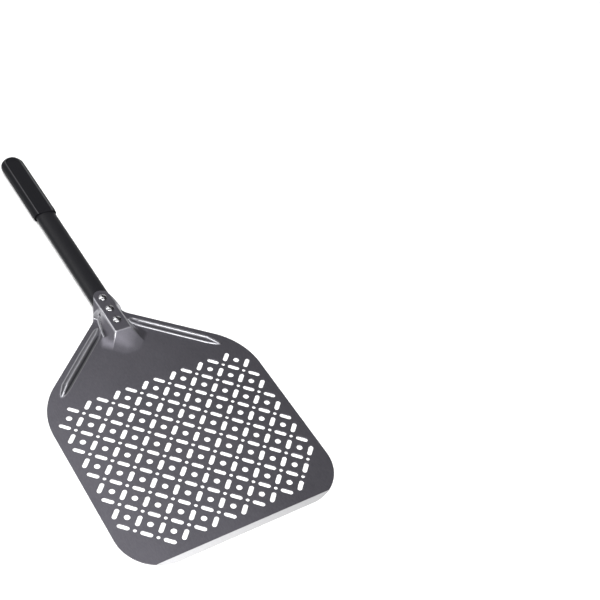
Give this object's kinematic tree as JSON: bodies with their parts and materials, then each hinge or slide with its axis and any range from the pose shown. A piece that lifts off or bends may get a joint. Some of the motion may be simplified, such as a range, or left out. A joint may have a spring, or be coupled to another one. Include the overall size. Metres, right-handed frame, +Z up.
{
  "type": "pizza peel",
  "caption": "Perforated pizza peel: a flat pressed aluminium blade with rounded corners and stiffening ribs, riveted to a short oval tube handle with a moulded grip.",
  "frame": {"origin": "on the plane the peel lies on, under the middle of its overall length and width", "axes": "+Y from the blade towards the end of the grip, +Z up out of the blade's top face, +X across the blade"},
  "size_m": [0.305, 0.743, 0.0204],
  "materials": {
    "anodised_sheet": "hard anodised, satin dark grey, with a bare ground strip along the front edge",
    "black_tube": "satin black coated tube",
    "black_grip": "fine-grained black moulding",
    "bright_rivet": "bright formed rivet head",
    "mandrel_steel": "broken end of the rivet's pin"
  },
  "bodies": {
    "root": {"blade_head": "anodised_sheet", "handle_tube": "black_tube", "grip_sleeve": "black_grip", "rivet_1": "bright_rivet", "rivet_2": "bright_rivet", "rivet_3": "bright_rivet", "rivet_mandrel_1": "mandrel_steel", "rivet_mandrel_2": "mandrel_steel", "rivet_mandrel_3": "mandrel_steel"}
  },
  "joints": []
}
